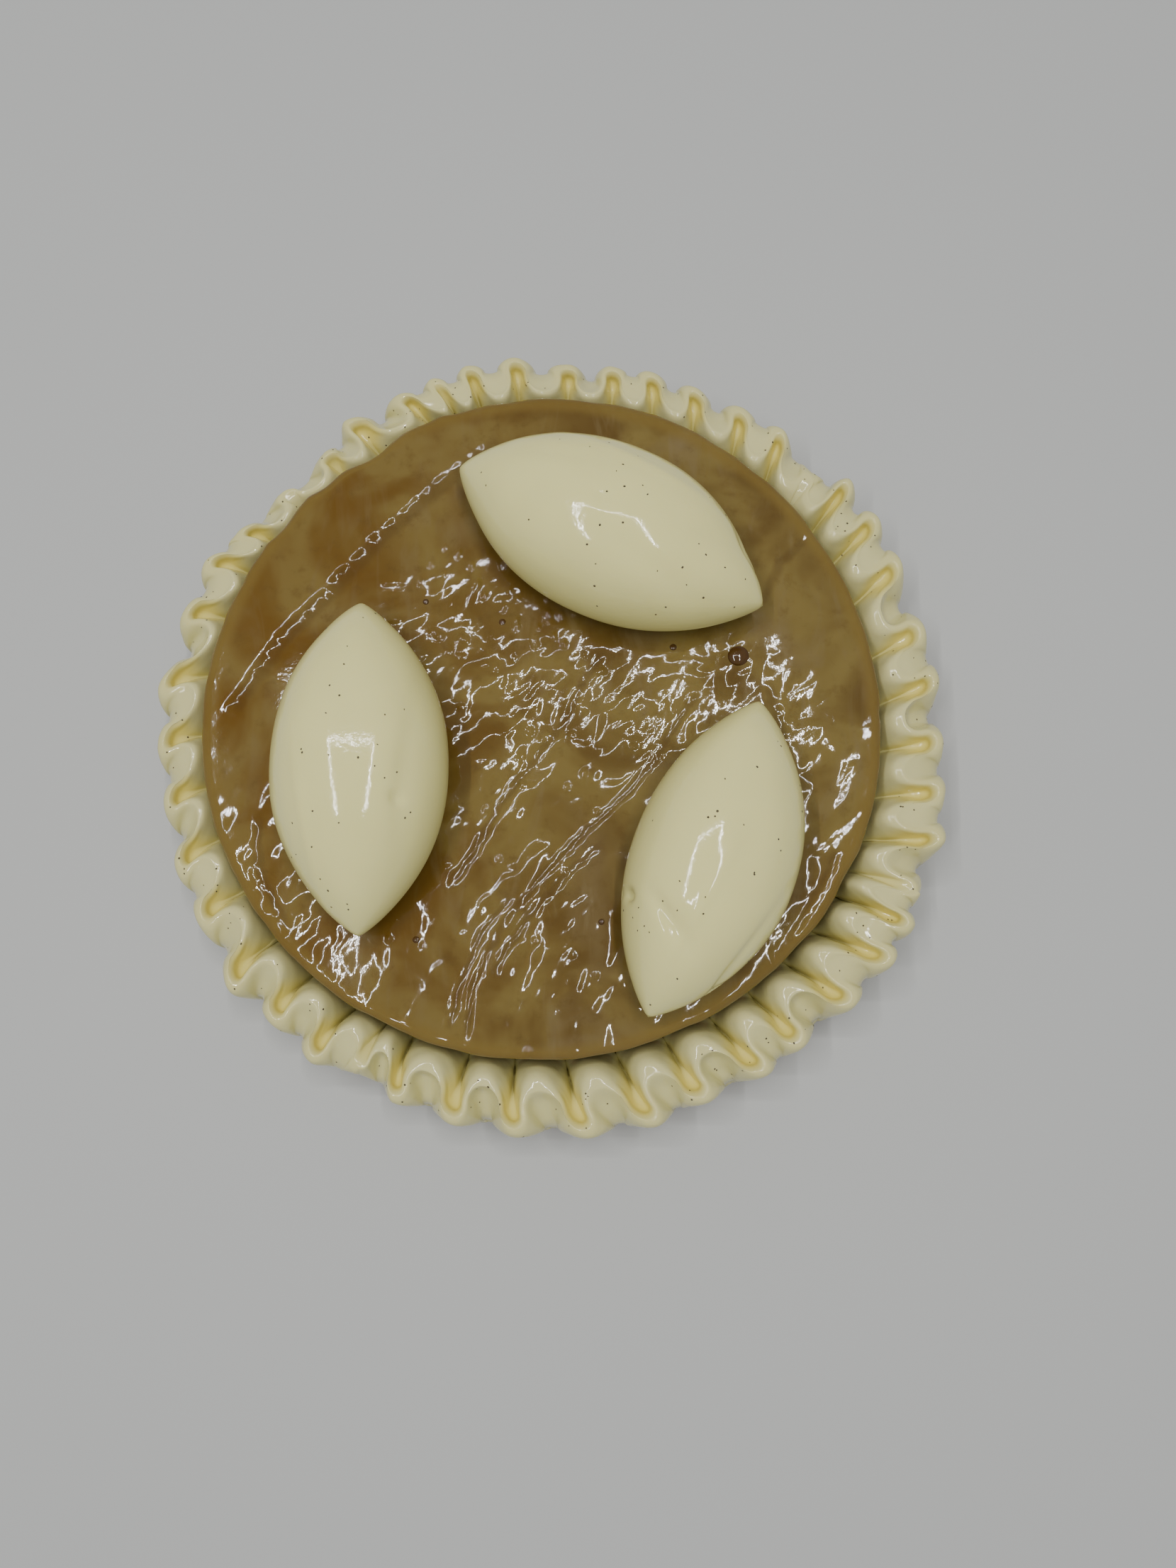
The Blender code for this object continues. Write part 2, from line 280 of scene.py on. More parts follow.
def fruit_material(colours):
    """Caramelised fruit under a clear glaze: golden and brown slices, orange towards the left."""
    made = Shader("glazed_fruit")
    where = made.place()
    along = made.place(scale=(1.0, 0.28, 1.0), turn=math.radians(38))
    patches = made.cloud(where, 42, detail=3.0, roughness=0.55, distortion=0.6)
    patches = made.between(patches, 0.36, 0.66)
    streaks = made.cloud(along, 150, detail=3.0, roughness=0.6, distortion=0.8)
    streaks = made.between(streaks, 0.5, 0.75)
    flesh = made.between(made.cloud(where, 33, distortion=1.0), 0.52, 0.72)
    mottle = made.between(made.cloud(where, 260, detail=4.0, roughness=0.62), 0.5, 0.8)
    left = made.node("ShaderNodeSeparateXYZ", {}, {"Vector": where}, "X")
    left = made.between(left, 0.03, -0.08)
    shade = made.mix(colours.gold, colours.brown, patches * 0.85)
    shade = made.mix(shade, colours.orange, left * (0.25 + 0.6 * patches))
    # Pale streaks and patches: partly the flesh's own colour, partly a painted reflection of the
    # surroundings in the glaze.
    shade = made.mix(shade, colours.pale_and_reflection, (streaks * 0.55 + flesh * 0.5) * (1.0 - 0.6 * left))
    shade = made.mix(shade, colours.brown, mottle * 0.5)
    shade = made.mix(shade, colours.caramel, made.attribute("syrup") * 0.3)
    shade = made.mix(shade, colours.rim, made.attribute("rim") * 0.7)
    return made.finish(
        Base_Color=shade,
        Roughness=0.03 + 0.04 * made.cloud(where, 300),
        Normal=made.bump(made.cloud(where, 900), depth=0.00004, strength=0.4),
        IOR=1.47,
        Specular_IOR_Level=0.36,
        Subsurface_Weight=0.25,
        Subsurface_Radius=(1.0, 0.5, 0.2),
        Subsurface_Scale=0.002,
    )


def pastry_material(colours):
    """Baked pastry, darker in patches and along its thin layers."""
    made = Shader("baked_pastry")
    where = made.place()
    layers = made.place(scale=(1, 1, 9))
    patches = made.cloud(where, 60, detail=4.0, roughness=0.6)
    lines = made.cloud(layers, 120, detail=4.0, roughness=0.6)
    shade = made.mix(colours.crust, colours.baked, made.between(patches, 0.35, 0.75))
    shade = made.mix(shade, colours.baked, made.between(lines, 0.5, 0.8) * 0.6)
    crumb = made.cloud(where, 1400, detail=3.0, roughness=0.7)
    return made.finish(
        Base_Color=shade,
        Roughness=0.5 + 0.3 * patches,
        Normal=made.bump(crumb + lines, depth=0.00025, strength=0.8),
        Subsurface_Weight=0.08,
        Subsurface_Scale=0.001,
    )


def vanilla_material(colours):
    made = Shader("vanilla_seed")
    grain = made.cloud(made.place(), 2500)
    return made.finish(
        Base_Color=made.mix(colours.vanilla, times(colours.vanilla, 3), grain),
        Roughness=0.35 + 0.2 * grain,
    )


def caramel_material(colours):
    made = Shader("caramel_drop")
    murk = made.cloud(made.place(), 350, detail=3.0)
    return made.finish(
        Base_Color=made.mix(colours.caramel, colours.brown, murk * 0.6),
        Roughness=0.04 + 0.06 * murk,
        IOR=1.47,
        Subsurface_Weight=0.2,
        Subsurface_Scale=0.002,
    )


# ---------------------------------------------------------------- shared shape helpers


def smooth_step(t):
    return t * t * (3 - 2 * t)


def clamp(t):
    return max(0.0, min(1.0, t))


def blend(a, b, t):
    return a + (b - a) * t


def direction(angle):
    return Vector((math.cos(angle), math.sin(angle)))


def noise_at(x, y, z):
    """Smooth noise from -1 to 1."""
    return noise.noise(Vector((x, y, z)))


def add_piece(name, bm, material, node):
    """A smooth object from a bmesh, riding on the tart and standing for its CAD node."""
    bmesh.ops.recalc_face_normals(bm, faces=bm.faces)
    mesh = bpy.data.meshes.new(name)
    bm.to_mesh(mesh)
    bm.free()
    mesh.materials.append(material)
    mesh.shade_smooth()
    piece = bpy.data.objects.new(name, mesh)
    bpy.context.scene.collection.objects.link(piece)
    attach(piece, "root")
    if node:
        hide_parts(node)
    return piece


def turned(profile, steps):
    """A bmesh turned from (radius, z) points that start and end on the axis."""
    bm = bmesh.new()
    points = [bm.verts.new((radius, 0, z)) for radius, z in profile]
    edges = [bm.edges.new(pair) for pair in zip(points, points[1:])]
    bmesh.ops.spin(bm, geom=points + edges, cent=(0, 0, 0), axis=(0, 0, 1), angle=math.tau,
                   steps=steps, use_merge=True)
    bmesh.ops.remove_doubles(bm, verts=bm.verts, dist=SAME_PLACE)
    return bm


def rim_points(radius, z, rounding, first, last, steps):
    """Points of a rounded rim between two angles in degrees, 0 pointing outwards, 90 up."""
    turns = [math.radians(blend(first, last, i / steps)) for i in range(steps + 1)]
    return [(radius + rounding * math.cos(a), z + rounding * math.sin(a)) for a in turns]


# ---------------------------------------------------------------- pastry

PASTRY_SPOKES = 420  # mesh steps round the pastry
PASTRY_RINGS = 12  # and across each face and up its side
FLAKES_START = 0.0006  # the side is smooth below this height


def pastry_mesh(size):
    """A round with rounded rims. Its side wanders and shows the baked layers."""
    inner = size.radius - size.edge
    upper = PASTRY_TOP - size.edge
    rings = [i / PASTRY_RINGS for i in range(PASTRY_RINGS)]
    profile = [(inner * t, 0) for t in rings]
    profile += rim_points(inner, size.edge, size.edge, -90, 0, 3)
    profile += [(size.radius, blend(size.edge, upper, t)) for t in rings[1:]]
    profile += rim_points(inner, upper, size.edge, 0, 90, 3)
    profile += [(inner * t, PASTRY_TOP) for t in reversed(rings)]
    bm = turned(profile, PASTRY_SPOKES)
    for vert in bm.verts:
        radius = vert.co.xy.length
        if radius < 1e-6:
            continue
        angle = math.atan2(vert.co.y, vert.co.x)
        out = radius / size.radius
        wander = math.sin(5 * angle + 1.3) + 0.6 * math.sin(11 * angle + 0.4)
        layer = noise_at(*(vert.co.xy * 90), vert.co.z * 1500)
        flake = noise_at(*(vert.co.xy * 320), vert.co.z * 1100 + 7)
        near_side = out**12 * clamp(vert.co.z / FLAKES_START)
        step = size.uneven * wander * out + size.flake * near_side * (layer + 0.6 * flake - 0.3)
        vert.co.xy *= 1 + step / radius
        if vert.co.z > upper:
            bake = noise_at(vert.co.x * 140, vert.co.y * 140, 3)
            vert.co.z += 0.00015 * (bake - 0.8)
    return bm


# ---------------------------------------------------------------- fruit

# Waves of the fruit's side: how many go round, height in millimetres, and phase in radians.
WAVES = ((2, 0.38, 1.08), (3, 0.49, -2.40), (4, 0.25, 2.55), (17, 0.11, 0.4), (29, 0.09, 1.0),
         (47, 0.05, 2.0))
# Dents and bulges of its side: angle and half width in degrees, and depth in millimetres.
DENTS = ((122.5, 4.5, 1.9), (131.5, 3.0, 0.8), (142.5, 3.5, 0.6), (108.0, 1.6, -0.6),
         (146.8, 1.2, -0.4), (135.8, 1.0, -0.25), (-29.0, 2.5, 0.3), (0.0, 1.5, 0.4),
         (155.0, 1.0, 0.25), (163.0, 1.2, 0.2), (50.0, 4.0, 0.5), (97.0, 2.0, 0.15))

# The edges of fruit slices, in millimetres: the points along one, the half width of the trough
# beside it and its depth. `beads` is how much the trough breaks up into beads, from 0 to 1.
SliceEdge = namedtuple("SliceEdge", "points width depth beads")
SLICE_EDGES = [SliceEdge(*row) for row in (
    (((-81, 4), (-67, 25), (-57, 35), (-44, 50), (-25, 67), (-12, 77)), 2.1, 0.51, 0.8),
    (((-21, -76), (-19, -64), (-16, -56), (-11, -47), (-5, -40), (2, -32), (8, -26),
      (19, -16), (25, -9), (32, 3), (37, 9)), 1.0, 0.30, 0.3),
    (((-25, -74), (-22, -62), (-17, -50), (-9, -41)), 0.8, 0.24, 0.3),
    (((-26, -40), (-19, -31), (-14, -21), (-9, -13), (-3, -7), (4, 3), (8, 12),
      (13, 20)), 1.1, 0.30, 0.5),
    (((-15, -62), (-11, -54), (-5, -46), (4, -36), (13, -28)), 1.1, 0.27, 0.5),
    (((54, 12), (57, -2), (58, -16), (55, -38), (48, -55)), 1.2, 0.30, 0.6),
    (((46, -66), (56, -55), (66, -40), (70, -30)), 1.0, 0.30, 0.5),
    (((52, 30), (58, 42), (66, 50)), 1.2, 0.18, 0.2),
    (((-73, -20), (-72, -35), (-64, -50)), 1.2, 0.27, 0.7),
)]

# Where the glaze is rippled: middle and reach in millimetres, and strength from 0 to 1.
Ripples = namedtuple("Ripples", "x y reach_x reach_y strength")
RIPPLES = [Ripples(*row) for row in (
    (-8, 6, 24, 24, 1.0), (14, 0, 24, 18, 1.0), (-20, -32, 24, 26, 1.0),
    (-4, -58, 44, 26, 1.0), (-66, -42, 18, 28, 0.9), (62, -15, 16, 34, 0.9),
    (55, -50, 18, 18, 0.9), (42, 14, 14, 10, 1.0), (-22, 32, 20, 14, 0.8),
)]
CALM = 0.06  # the ripples' strength everywhere else
RIPPLE_WAY = (0.68, 0.73)  # ripples are drawn out along the slices, which lie this way
DRAWN_OUT = 1.7  # how much longer than wide ripples are
EDGE_STEP = 0.25  # millimetres between the points of a slice's edge that are searched
EDGE_FADE = 14  # how many of those points an edge takes to fade at its ends
HIGHEST = 0.45  # millimetres that the glaze may rise above the hollows' level
# Small domes in the glaze: how many, mean and spread of x and of y, smallest and largest radius.
BUBBLES = ((46, -20, 14, 26, 11, 0.7, 1.3), (30, 8, 26, -20, 28, 0.6, 1.1))
# The top is level out to the first distance from its middle, and falls over the second.
LEVEL_OUT_TO, FALLS_OVER = 0.064, 0.018
RIM_BAND = 0.003  # width of the lighter band at the rim
SKIN = 0.0002  # how far the top and the side stay inside the fruit's size


def disc_rim(size, angle):
    """Radius of the fruit's side about its own middle."""
    reach = size.radius + MM * sum(h * math.sin(n * angle + p) for n, h, p in WAVES)
    for middle, half_width, depth in DENTS:
        away = (angle - math.radians(middle) + math.pi) % math.tau - math.pi
        reach -= depth * MM * math.exp(-((away / math.radians(half_width)) ** 2))
    return reach


def disc_distance(size, angle):
    """How far the fruit's side lies from the origin, in the given direction."""
    middle = Vector(size.middle)
    way = direction(angle)
    distance = size.radius + way.dot(middle)
    for _ in range(6):  # each pass brings it nearer
        spoke = way * distance - middle
        distance += disc_rim(size, math.atan2(spoke.y, spoke.x)) - spoke.length
    return distance


def disc_hollow(size, x, y):
    """How far the top lies below its highest level: broad hollows, and a fall towards the rim."""
    waves = (math.sin(90 * x + 130 * y + 0.5), math.sin(140 * x - 70 * y + 2.0),
             math.sin(35 * x + 48 * y + 4.0))
    falling = smooth_step(clamp((math.hypot(x, y) - LEVEL_OUT_TO) / FALLS_OVER))
    return size.sink * (0.5 - sum(waves) / 6 + falling)


def finder(places):
    """A search tree that gives the nearest of the places."""
    tree = KDTree(len(places))
    for i, place in enumerate(places):
        tree.insert(place, i)
    tree.balance()
    return tree


def edge_finder(edge):
    """A search tree of the points along a slice's edge, and how many there are."""
    places = []
    for start, end in zip(edge.points, edge.points[1:]):
        start, end = Vector((*start, 0)), Vector((*end, 0))
        steps = int((end - start).length / EDGE_STEP)
        places += [start.lerp(end, i / steps) for i in range(steps)]
    return finder(places), len(places)


def bubble_finder():
    """A search tree of the small domes in the glaze, and the radius of each."""
    chance = random.Random(12)
    places, radii = [], []
    for count, x, x_spread, y, y_spread, smallest, largest in BUBBLES:
        for _ in range(count):
            places.append(Vector((chance.gauss(x, x_spread), chance.gauss(y, y_spread), 0)))
            radii.append(chance.uniform(smallest, largest))
    return finder(places), radii


def glaze_height(size, x, y, edges, bubbles):
    """Height of the glaze at a place, all in millimetres, and how much syrup lies there."""
    here = Vector((x, y, 0))
    strength = CALM
    for patch in RIPPLES:
        off = ((x - patch.x) / patch.reach_x) ** 2 + ((y - patch.y) / patch.reach_y) ** 2
        strength = max(strength, patch.strength * math.exp(-off * 0.9))
    way_x, way_y = RIPPLE_WAY
    along = (x * way_x + y * way_y) / DRAWN_OUT
    across = -x * way_y + y * way_x
    warp = noise.noise_vector(Vector((x, y, 40)) / 7) * 1.6
    broad = noise_at((along + warp.x) / 5.0, (across + warp.y) / 5.0, 1.7)
    small = noise_at((along + warp.y) / 2.0, (across + warp.x) / 2.0, 9.1)
    height = strength * size.ripple / MM * (broad * 1.1 + small * 0.24)
    syrup = 0.0
    shaky = here + noise.noise_vector(here / 3.1) * 0.55
    for edge, (tree, count) in zip(SLICE_EDGES, edges):
        _, index, away = tree.find(shaky)
        if away > edge.width * 3:
            continue
        beads = noise_at(index * 0.09, edge.width * 9, 2)
        ends = smooth_step(clamp(min(index, count - index) / EDGE_FADE))
        depth = edge.depth * ends * (1 - edge.beads * (0.5 + 0.9 * beads))
        trough = math.exp(-((away / edge.width) ** 4))
        height -= depth * trough
        syrup = max(syrup, trough * ends)
    tree, radii = bubbles
    _, index, away = tree.find(here)
    radius = radii[index]
    if away < radius:
        height += 0.42 * radius * (1 - (away / radius) ** 2) ** 0.7
    return height, syrup


def grid_to_disc(x, y):
    """Where a place of the square grid goes on a disc: the share of its radius, and the angle."""
    if abs(x) > abs(y):
        out, angle = x, math.pi / 4 * y / x
    elif y:
        out, angle = y, math.pi / 2 - math.pi / 4 * x / y
    else:
        out, angle = 0, 0
    return (-out, angle + math.pi) if out < 0 else (out, angle)


def fruit_mesh(size):
    """A disc made from a grid, with the glaze's relief on its top and rings down its side."""
    edges = [edge_finder(edge) for edge in SLICE_EDGES]
    bubbles = bubble_finder()
    flat = size.radius - size.edge
    bm = bmesh.new()
    bmesh.ops.create_grid(bm, x_segments=size.cells, y_segments=size.cells, size=1)
    syrup_layer = bm.verts.layers.float.new("syrup")
    rim_layer = bm.verts.layers.float.new("rim")
    middle = Vector(size.middle)

    for vert in bm.verts:
        out, angle = grid_to_disc(vert.co.x, vert.co.y)
        reach = flat + smooth_step(out) * (disc_rim(size, angle) - size.radius)
        spot = out * reach * direction(angle) + middle
        height, syrup = glaze_height(size, spot.x / MM, spot.y / MM, edges, bubbles)
        hollow = disc_hollow(size, *(spot - middle))
        vert[syrup_layer] = syrup
        vert[rim_layer] = smooth_step(clamp((out * reach - flat + RIM_BAND) / RIM_BAND))
        vert.co = (*spot, FRUIT_TOP - hollow - SKIN + min(height, HIGHEST) * MM)

    # Rings from the rim down: how far inside the side, how far below the top, and the rim's colour.
    rows = [(size.edge * (1 - math.sin(a)), size.edge * (1 - math.cos(a)), 1.0)
            for a in (0.25, 0.55, 0.9, 1.25, math.pi / 2)]
    side = FRUIT_TOP - size.edge - FRUIT_FLOOR
    rows += [(0, size.edge + side * t, 1 - t) for t in (0.06, 0.12, 0.2, 0.3, 0.45)]
    rows += [(0, size.edge + side * 0.75, 0), (0.0006, FRUIT_TOP - FRUIT_FLOOR, 0)]
    ring = [edge for edge in bm.edges if edge.is_boundary]
    tops = {}  # the top's height at its rim, by angle, so that the side starts where it ends
    for inwards, drop, strong in rows:
        made = bmesh.ops.extrude_edge_only(bm, edges=ring)["geom"]
        ring = [item for item in made if isinstance(item, bmesh.types.BMEdge) and item.is_boundary]
        for vert in [item for item in made if isinstance(item, bmesh.types.BMVert)]:
            spoke = vert.co.xy - middle
            angle = math.atan2(spoke.y, spoke.x)
            key = round(angle, 6)
            if key not in tops:
                tops[key] = vert.co.z - FRUIT_TOP
            layer = noise_at(math.cos(angle) * 5, math.sin(angle) * 5, drop * 620)
            fine = noise_at(*(vert.co.xy * 260), drop * 900)
            bulge = 0.00030 * layer + 0.00012 * fine if drop > size.edge * 0.6 else 0
            reach = disc_rim(size, angle) - (inwards + max(0.0, SKIN - bulge))
            place = reach * direction(angle) + middle
            vert.co = (*place, FRUIT_TOP - drop + tops[key] * clamp(1 - drop / size.edge))
            vert[rim_layer] = strong
    made = bmesh.ops.extrude_edge_only(bm, edges=ring)["geom"]
    centre = [item for item in made if isinstance(item, bmesh.types.BMVert)]
    for vert in centre:
        vert.co = (*middle, FRUIT_FLOOR)
    bmesh.ops.remove_doubles(bm, verts=centre, dist=SAME_PLACE)
    return bm


# ---------------------------------------------------------------- border

# The folds, clockwise: angle of a fold's outer end, how far it leans anticlockwise from root to
# end (both in degrees), how far its end stands out and up beyond the usual (mm), how full the
# barrel after it is outside the ridge (0 hollow, 1 round, or past either), and how weak the fold
# came out (0 crisp, 1 gone).
FOLDS = (
    (40, 1.7, 2.2, 1.5, 1.1, 0), (33.3, 1.5, 1.7, 1, 1.25, 0), (26, 2.5, 0.6, 0.3, -0.3, 0),
    (15.4, 1.8, -0.7, -0.4, 0.95, 0), (7.5, 2.3, -0.4, -0.2, -0.3, 0),
    (-1.8, 1.1, -0.9, -0.5, 0.85, 0), (-9.4, 1.8, 0, 0, 1.5, 0), (-16.6, 2.5, 1.9, 1.1, 0.45, 0),
    (-24.4, 0.6, 0.3, 0.2, 1.5, 0.6), (-29.2, 0.4, 2.2, 1.6, 1.5, 0),
    (-35.2, 2, 2.2, 1.6, 1.15, 0), (-43.2, 1.5, 1.2, 0.7, -0.3, 0),
    (-52.2, 0.8, -0.3, -0.2, 0.65, 0), (-58.9, 2.5, 0.1, 0.1, -0.3, 0),
    (-68, 2.5, -0.7, -0.4, 0.3, 0), (-76, 3.5, 0.5, 0.3, 0.4, 0), (-85.5, 3.2, 0.4, 0.2, 0.05, 0),
    (-95.6, 1.9, 0.2, 0.1, -0.3, 0), (-104.3, 1.3, -0.2, -0.1, -0.3, 0),
    (-113.5, 2.6, -0.6, -0.3, -0.3, 0), (-119.6, 1, -2.6, -1, 1, 0.55),
    (-126.3, 0.6, 0.8, 0.4, 0.55, 0), (-134.3, 2, 0.2, 0.1, 0.55, 0),
    (-142.3, 2.6, 2.2, 1.6, 0.7, 0), (-152.3, 2, 0.2, 0.1, 1.15, 0), (-161, 3, 0.3, 0.2, 0.4, 0),
    (-170, 3, -0.3, -0.2, 0.95, 0), (-179, 2.7, 0.3, 0.2, 1.2, 0),
    (-188.5, 3.5, 1.4, 0.8, 0.15, 0), (-199.3, 2.2, 0.9, 0.5, 1.25, 0),
    (-207.8, 2.2, 1.3, 0.8, 1.4, 0), (-213.7, 3, -1.2, -0.7, 0.3, 0),
    (-221.5, 2, -2.6, -1, -0.3, 0.9), (-231.2, 1, -2.6, -1, 0.55, 0.2),
    (-237.6, 2, 0.9, 0.5, 0.35, 0), (-247, 3, 0.4, 0.2, 1.5, 0), (-252, 2, 0.9, 0.6, 1.5, 0.3),
    (-257.2, 0.8, 1.7, 1.3, 1.5, 0), (-264.2, 0.4, 1.8, 1.6, 1, 0),
    (-272.3, 0.3, -0.2, -0.1, 0.45, 0), (-279.3, 0.8, 0.2, 0.1, 1.5, 0),
    (-285.5, 2, 0.7, 0.4, 1, 0), (-292.5, 2.5, 0.3, 0.2, 0.75, 0),
    (-300.3, 2.7, 0.4, 0.2, 1.5, 0), (-307.5, 2.5, 1, 0.6, 0.75, 0),
    (-314.5, 1.5, -2.5, -1, 1, 1),
)

# One station of the border's section, from the outer foot over the ridge to the inner foot. Over
# a barrel, half way between two folds, its radius is a share of the way from the ridge to the
# foot (outer side) or from the fruit to the ridge (inner side): `hollow` or `full`, as the fold
# says. In a fold it is `fold`, millimetres past the ridge or a share of the way from the fruit to
# it. Heights are in millimetres. Seen from above, a station runs round each fold in a half
# ellipse, `half` the pitch wide to each side, and round each barrel in one that is squarer the
# higher `square` is. `dome` is how much a barrel's height follows a round dome and not a gentle
# wave, and `yellow` how much painted shade lies in the fold: a deeper yellow that stands in for
# the light bounced and shaded inside it.
Station = namedtuple("Station", "side hollow hollow_z full full_z fold fold_z half square dome yellow")
STATIONS = [Station(*row) for row in (
    ("outer", 1.00, 0.0, 1.02, 0.0, 1.0, 0.0, 0.43, 2.0, 0.0, 0.0),
    ("outer", 1.04, 2.6, 1.12, 3.0, 1.8, 3.4, 0.43, 2.0, 0.0, 0.0),
    ("outer", 1.02, 6.6, 1.16, 7.6, 2.1, 8.0, 0.42, 2.0, 0.0, 0.0),
    ("outer", 0.88, 11.0, 1.08, 12.6, 2.1, 13.0, 0.40, 2.0, 0.0, 0.0),
    ("outer", 0.56, 13.8, 0.86, 16.0, 2.0, 16.9, 0.35, 2.2, 0.0, 0.0),
    ("outer", 0.20, 16.4, 0.46, 18.4, 1.3, 18.8, 0.29, 2.3, 0.0, 0.0),
    ("outer", 0.00, 19.4, 0.06, 19.5, 0.1, 19.4, 0.22, 2.3, 0.0, 0.1),
    ("inner", 0.90, 19.9, 0.90, 19.9, 0.955, 19.2, 0.180, 2.3, 0.3, 0.2),
    ("inner", 0.76, 19.9, 0.76, 19.9, 0.895, 18.2, 0.130, 2.3, 0.6, 0.8),
    ("inner", 0.54, 19.5, 0.54, 19.5, 0.865, 16.8, 0.105, 2.2, 0.9, 1.0),
    ("inner", 0.34, 18.0, 0.34, 18.0, 0.79, 15.9, 0.070, 2.1, 1.0, 0.85),
    ("inner", 0.17, 15.2, 0.17, 15.2, 0.56, 14.6, 0.035, 2.0, 1.0, 0.6),
    ("inner", 0.05, 11.0, 0.05, 11.0, 0.32, 11.6, 0.018, 2.0, 1.0, 0.4),
    ("inner", 0.00, 6.0, 0.00, 6.0, 0.10, 8.0, 0.014, 2.0, 0.6, 0.3),
    ("inner", 0.00, 0.0, 0.00, 0.0, 0.00, 0.0, 0.012, 2.0, 0.0, 0.2),
)]
CRISP_SIDE = 0.8  # how wide a groove is on its anticlockwise side
SOFT_SIDE = 1.25  # and on the other side
APEX_FOLLOWS = 0.45  # how much of the wander of the fruit's side the ridge follows over a barrel
FOOT_FOLLOWS = 0.15  # and at the foot and in a fold
# At the front the barrels' inner ends are free and gaps open between them: how far forward they
# begin, as a share of the radius, how far out and down they open, and how much of a fold they take.
GAP_FROM, GAP_OUT, GAP_DOWN, GAP_FOLD = 0.35, 0.16, 0.5, 0.6
FOLD_SHADE_EDGE = 0.09  # width over which the painted fold shade fades beside a fold, as a share of the pitch
WALL_STEPS = 720  # directions in which the fruit's side is measured

# A fold in radians and metres, and the border's section at one place between two folds.
Fold = namedtuple("Fold", "root lean reach lift full weak")
Section = namedtuple("Section", "fold after phases radii heights yellows")


def piped_folds():
    """Every fold of the border, anticlockwise, in radians and metres."""
    made = []
    for angle, lean, reach, lift, full, weak in reversed(FOLDS):
        root = math.radians(angle - lean)
        made.append(Fold(root, math.radians(lean), reach * MM, lift * MM, full, weak))
    return made


def rounded(turn, square):
    """A point of a quarter of a squared circle, 0 to a quarter turn from its top."""
    across, along = math.sin(turn), math.cos(turn)
    size = (across**square + max(along, 0.0) ** square) ** (-1 / square)
    return size * across, size * along


def fold_outline(step, half, square):
    """Seen from above, how far a station lies from its fold as a share of the pitch, how much of
    the fold's reach is left there, and how high a dome has risen. step is 0 in a fold and 0.5 over
    a barrel."""
    if step < 0.25:
        across, along = rounded(step * math.tau, 2.0)
        return half * across, 1 - 2 * half * (1 - along), 0.0
    across, along = rounded((0.5 - step) * math.tau, square)
    away = 0.5 - (0.5 - half) * across
    return away, (1 - 2 * half) * (1 - along), math.sqrt(max(1 - across**2, 0.0))


def along_folds(here, after, phase):
    """The angle a share of the way from one fold's root to the next one's."""
    return here.root + ((after.root - here.root) % math.tau) * phase


def border_section(size, fruit_radius, disc, all_folds, turn):
    """The border's section `turn` folds round it. `disc` gives the fruit's side at an angle."""
    index = int(turn) % len(all_folds)
    here, after = all_folds[index], all_folds[(index + 1) % len(all_folds)]
    step = turn - int(turn)
    near = min(step, 1 - step)
    in_barrel = smooth_step(2 * near)
    gaps = smooth_step(clamp(4 * (-math.sin(here.root) - GAP_FROM)))
    phases, radii, heights, yellows = [], [], [], []
    for station in STATIONS:
        half, fold_z = station.half, station.fold_z
        if station.side == "inner":
            half *= CRISP_SIDE if step < 0.5 else SOFT_SIDE
        away, left, domed = fold_outline(near, half, station.square)
        phase = away if step < 0.5 else 1 - away
        soft = smooth_step(phase)
        weak = blend(here.weak, after.weak, soft)
        wall = disc(along_folds(here, after, phase))
        wander = wall - fruit_radius
        apex = size.apex + APEX_FOLLOWS * wander
        foot = size.foot + FOOT_FOLLOWS * wander
        tip = size.tip + FOOT_FOLLOWS * wander + blend(here.reach, after.reach, soft)
        share = blend(station.hollow, station.full, after.full)
        if station.side == "outer":
            over_barrel = blend(apex, foot, share)
            in_fold = tip + station.fold * MM
        else:
            gap = gaps * clamp(1 - station.fold / GAP_FOLD)
            fold_z *= 1 - GAP_DOWN * gap
            over_barrel = blend(wall, apex, share)
            in_fold = blend(wall, tip, blend(station.fold + GAP_OUT * gap, share, weak))
        lift = 1 + blend(here.lift, after.lift, soft) / size.ridge
        barrel_z = blend(station.hollow_z, station.full_z, after.full)
        fold_z = blend(fold_z, barrel_z, weak)
        height = blend(fold_z, barrel_z, blend(in_barrel, domed, station.dome))
        phases.append(phase)
        radii.append(blend(over_barrel, in_fold, left))
        heights.append(height * MM * lift + CREAM_FLOOR)
        # Painted shade: how strongly the folds' deeper yellow is laid here, fading beside the fold.
        near_fold = clamp((half + FOLD_SHADE_EDGE - away) / FOLD_SHADE_EDGE)
        yellows.append(station.yellow * (1 - weak) * near_fold)
    return Section(here, after, phases, radii, heights, yellows)


def round_curve(values, place):
    """A smooth closed curve through the values, at a place counted in values."""
    first = int(place)
    t = place - first
    a, b, c, d = (values[(first + i) % len(values)] for i in (-1, 0, 1, 2))
    return 0.5 * (2 * b + (c - a) * t + (2 * a - 5 * b + 4 * c - d) * t * t
                  + (3 * b - a - 3 * c + d) * t**3)


